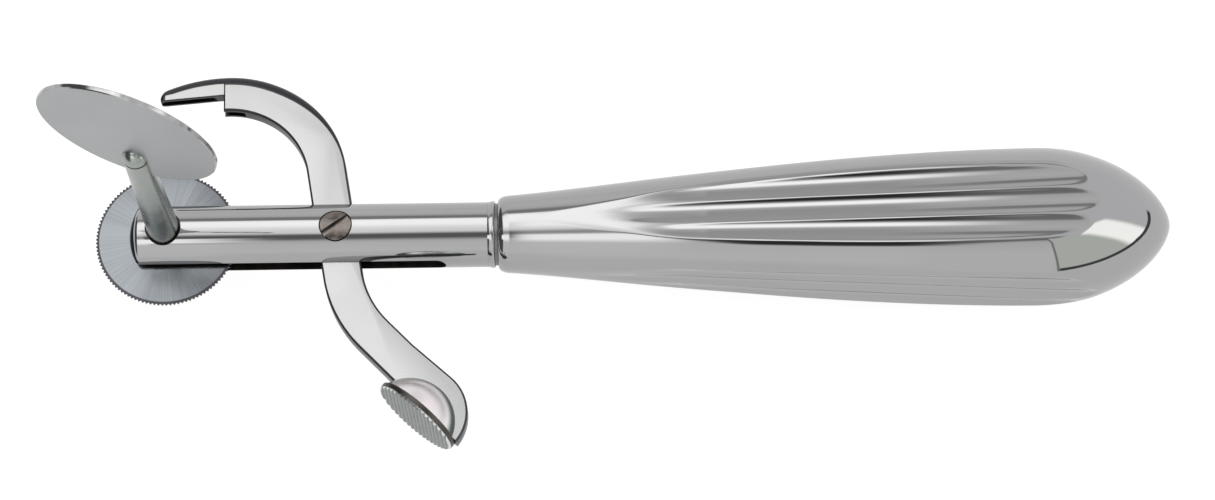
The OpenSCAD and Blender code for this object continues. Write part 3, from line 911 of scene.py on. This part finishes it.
def curved_card(name, bands, start, full_start, full_end, end, soft):
    """A curved card over the tool that fades out at its ends and sides, seen only in reflections."""
    card_r = 130
    low, high = bands[0][0], bands[-1][0]
    bm = bmesh.new()
    bmesh.ops.create_grid(bm, x_segments=1, y_segments=48, size=1.0)
    for v in bm.verts:
        a = radians(low + (high - low) * (v.co.y + 1) / 2)
        v.co = ((start + end) / 2 + (end - start) / 2 * v.co.x, card_r * sin(a), card_r * cos(a))
    bmesh.ops.scale(bm, vec=(MM, MM, MM), verts=bm.verts)
    sheet = to_object(bm, name)
    material = bpy.data.materials.new(name)
    make, link = blank_nodes(material)
    axes = place_axes(make, link)
    share = angle_share(make, link, axes, bands)
    glow = make("ShaderNodeEmission")
    link(band_ramp(make, link, share, bands), glow.inputs["Color"])
    fades = [remap(make, link, axes["X"], start * MM, full_start * MM),
             remap(make, link, axes["X"], end * MM, full_end * MM),
             remap(make, link, share, 0.0, soft),
             remap(make, link, share, 1.0, 1 - 2 * soft)]
    nothing = make("ShaderNodeBsdfTransparent")
    mix = make("ShaderNodeMixShader")
    link(combine(make, link, "MULTIPLY", fades), mix.inputs["Fac"])
    link(nothing.outputs[0], mix.inputs[1])
    link(glow.outputs[0], mix.inputs[2])
    out = make("ShaderNodeOutputMaterial")
    link(mix.outputs[0], out.inputs["Surface"])
    sheet.data.materials.append(material)
    sheet.visible_camera = sheet.visible_diffuse = sheet.visible_shadow = False


# Brightness by the angle from overhead, turning from the camera's side (negative) to the far side,
# as seen along three directions: towards the blade's end, straight up, and towards the handle's end.
BLADE_SIDE = [(-180, 0.95), (-46, 1.1), (-42, 1.4), (-36, 1.95), (-25, 1.95), (-21, 0.8), (-17, 0.55),
              (-13, 0.8), (-9, 1.35), (4, 2.05), (30, 2.05), (39, 1.7), (43, 0.9), (48, 0.35), (52, 0.6),
              (58, 0.88), (180, 0.95)]
OVERHEAD = [(-180, 0.95), (-85, 0.95), (-73, 1.05), (-46, 1.0), (-38, 0.88), (-32, 0.5), (-29, 0.25),
            (-25, 0.2), (-17, 0.2), (-14, 0.4), (-10, 1.0), (-6, 1.4), (2, 1.5), (10, 1.7), (20, 2.1),
            (36, 2.15), (40.5, 1.6), (42.5, 0.45), (50, 0.35), (54, 0.6), (58, 0.85), (70, 0.95), (90, 0.9),
            (180, 0.95)]
HANDLE_SIDE = [(-180, 0.95), (-60, 1.0), (-36, 0.85), (-27, 0.3), (-15, 0.35), (-6, 0.85), (20, 0.95),
               (38, 0.85), (44, 0.4), (54, 0.45), (62, 0.85), (180, 0.95)]


def studio_light():
    """Soft boxes and dark gaps as bands round the tool's long axis."""
    world = bpy.data.worlds.new("studio")
    bpy.context.scene.world = world
    make, link = blank_nodes(world)
    axes = place_axes(make, link, "Generated")
    share = angle_share(make, link, axes, OVERHEAD)

    def limit(value, start, end):
        return remap(make, link, value, start, end)

    def even(*shade):
        plain = make("ShaderNodeRGB")
        plain.outputs[0].default_value = shade + (1,)
        return plain.outputs[0]

    def patch(behind, shade, *limits):
        return mix_colours(make, link, combine(make, link, "MULTIPLY", limits), behind, shade)

    along, across, up = axes["X"], axes["Y"], axes["Z"]
    blade_side, overhead, handle_side = (band_ramp(make, link, share, bands)
                                         for bands in (BLADE_SIDE, OVERHEAD, HANDLE_SIDE))
    whole = patch(blade_side, overhead, limit(along, -0.215, -0.18))
    whole = patch(whole, handle_side, limit(along, -0.04, 0.03))
    whole = patch(whole, even(0.95, 0.93, 0.95), limit(along, 0.2, 0.32))
    # a window past the handle's end, a little askew, the wall beside it, and the dark gap round both
    slant = make("ShaderNodeMath", operation="MULTIPLY_ADD")
    slant.inputs[1].default_value = 0.21
    link(across, slant.inputs[0])
    link(along, slant.inputs[2])
    beyond = limit(slant.outputs[0], 0.063, 0.083)
    near = limit(across, -0.38, -0.42)
    whole = patch(whole, even(0.3, 0.3, 0.3), limit(slant.outputs[0], 0.043, 0.06), near)
    whole = patch(whole, even(0.9, 0.94, 0.86), beyond, near)
    whole = patch(whole, even(2.1, 2.1, 2.02), limit(along, 0.45, 0.53), limit(across, -0.04, -0.16),
                  limit(across, -0.52, -0.42))
    whole = patch(whole, even(0.1, 0.1, 0.1), beyond, limit(across, 0.36, 0.28), limit(up, 0.08, 0.06))
    # the dark room beyond the blade's end
    whole = patch(whole, even(0.12, 0.12, 0.12), limit(along, -0.5, -0.62))
    light = make("ShaderNodeBackground")
    out = make("ShaderNodeOutputWorld")
    link(whole, light.inputs["Color"])
    link(light.outputs[0], out.inputs["Surface"])


def photo_camera():
    data = bpy.data.cameras.new("camera")
    data.lens = 90.893
    data.sensor_width = 36.0
    data.sensor_fit = "HORIZONTAL"
    data.clip_start = 0.01
    camera = bpy.data.objects.new("camera", data)
    bpy.context.scene.collection.objects.link(camera)
    right = Vector((0.999894, -0.010894, -0.009673))
    up = Vector((0.013708, 0.928372, 0.371398))
    back = Vector((0.004936, -0.371491, 0.928423))
    place = Matrix((right, up, back)).transposed().to_4x4()
    place.translation = (0.0638634, -0.1619762, 0.3983713)
    camera.matrix_world = place
    bpy.context.scene.camera = camera


white_floor()
curved_card("handle card", HANDLE_CARD, 48, 66, 98, 126, 0.06)
curved_card("tip card", TIP_CARD, -80, -70, -20, 4, 0.12)
studio_light()
photo_camera()
bpy.context.scene.view_settings.view_transform = "Standard"
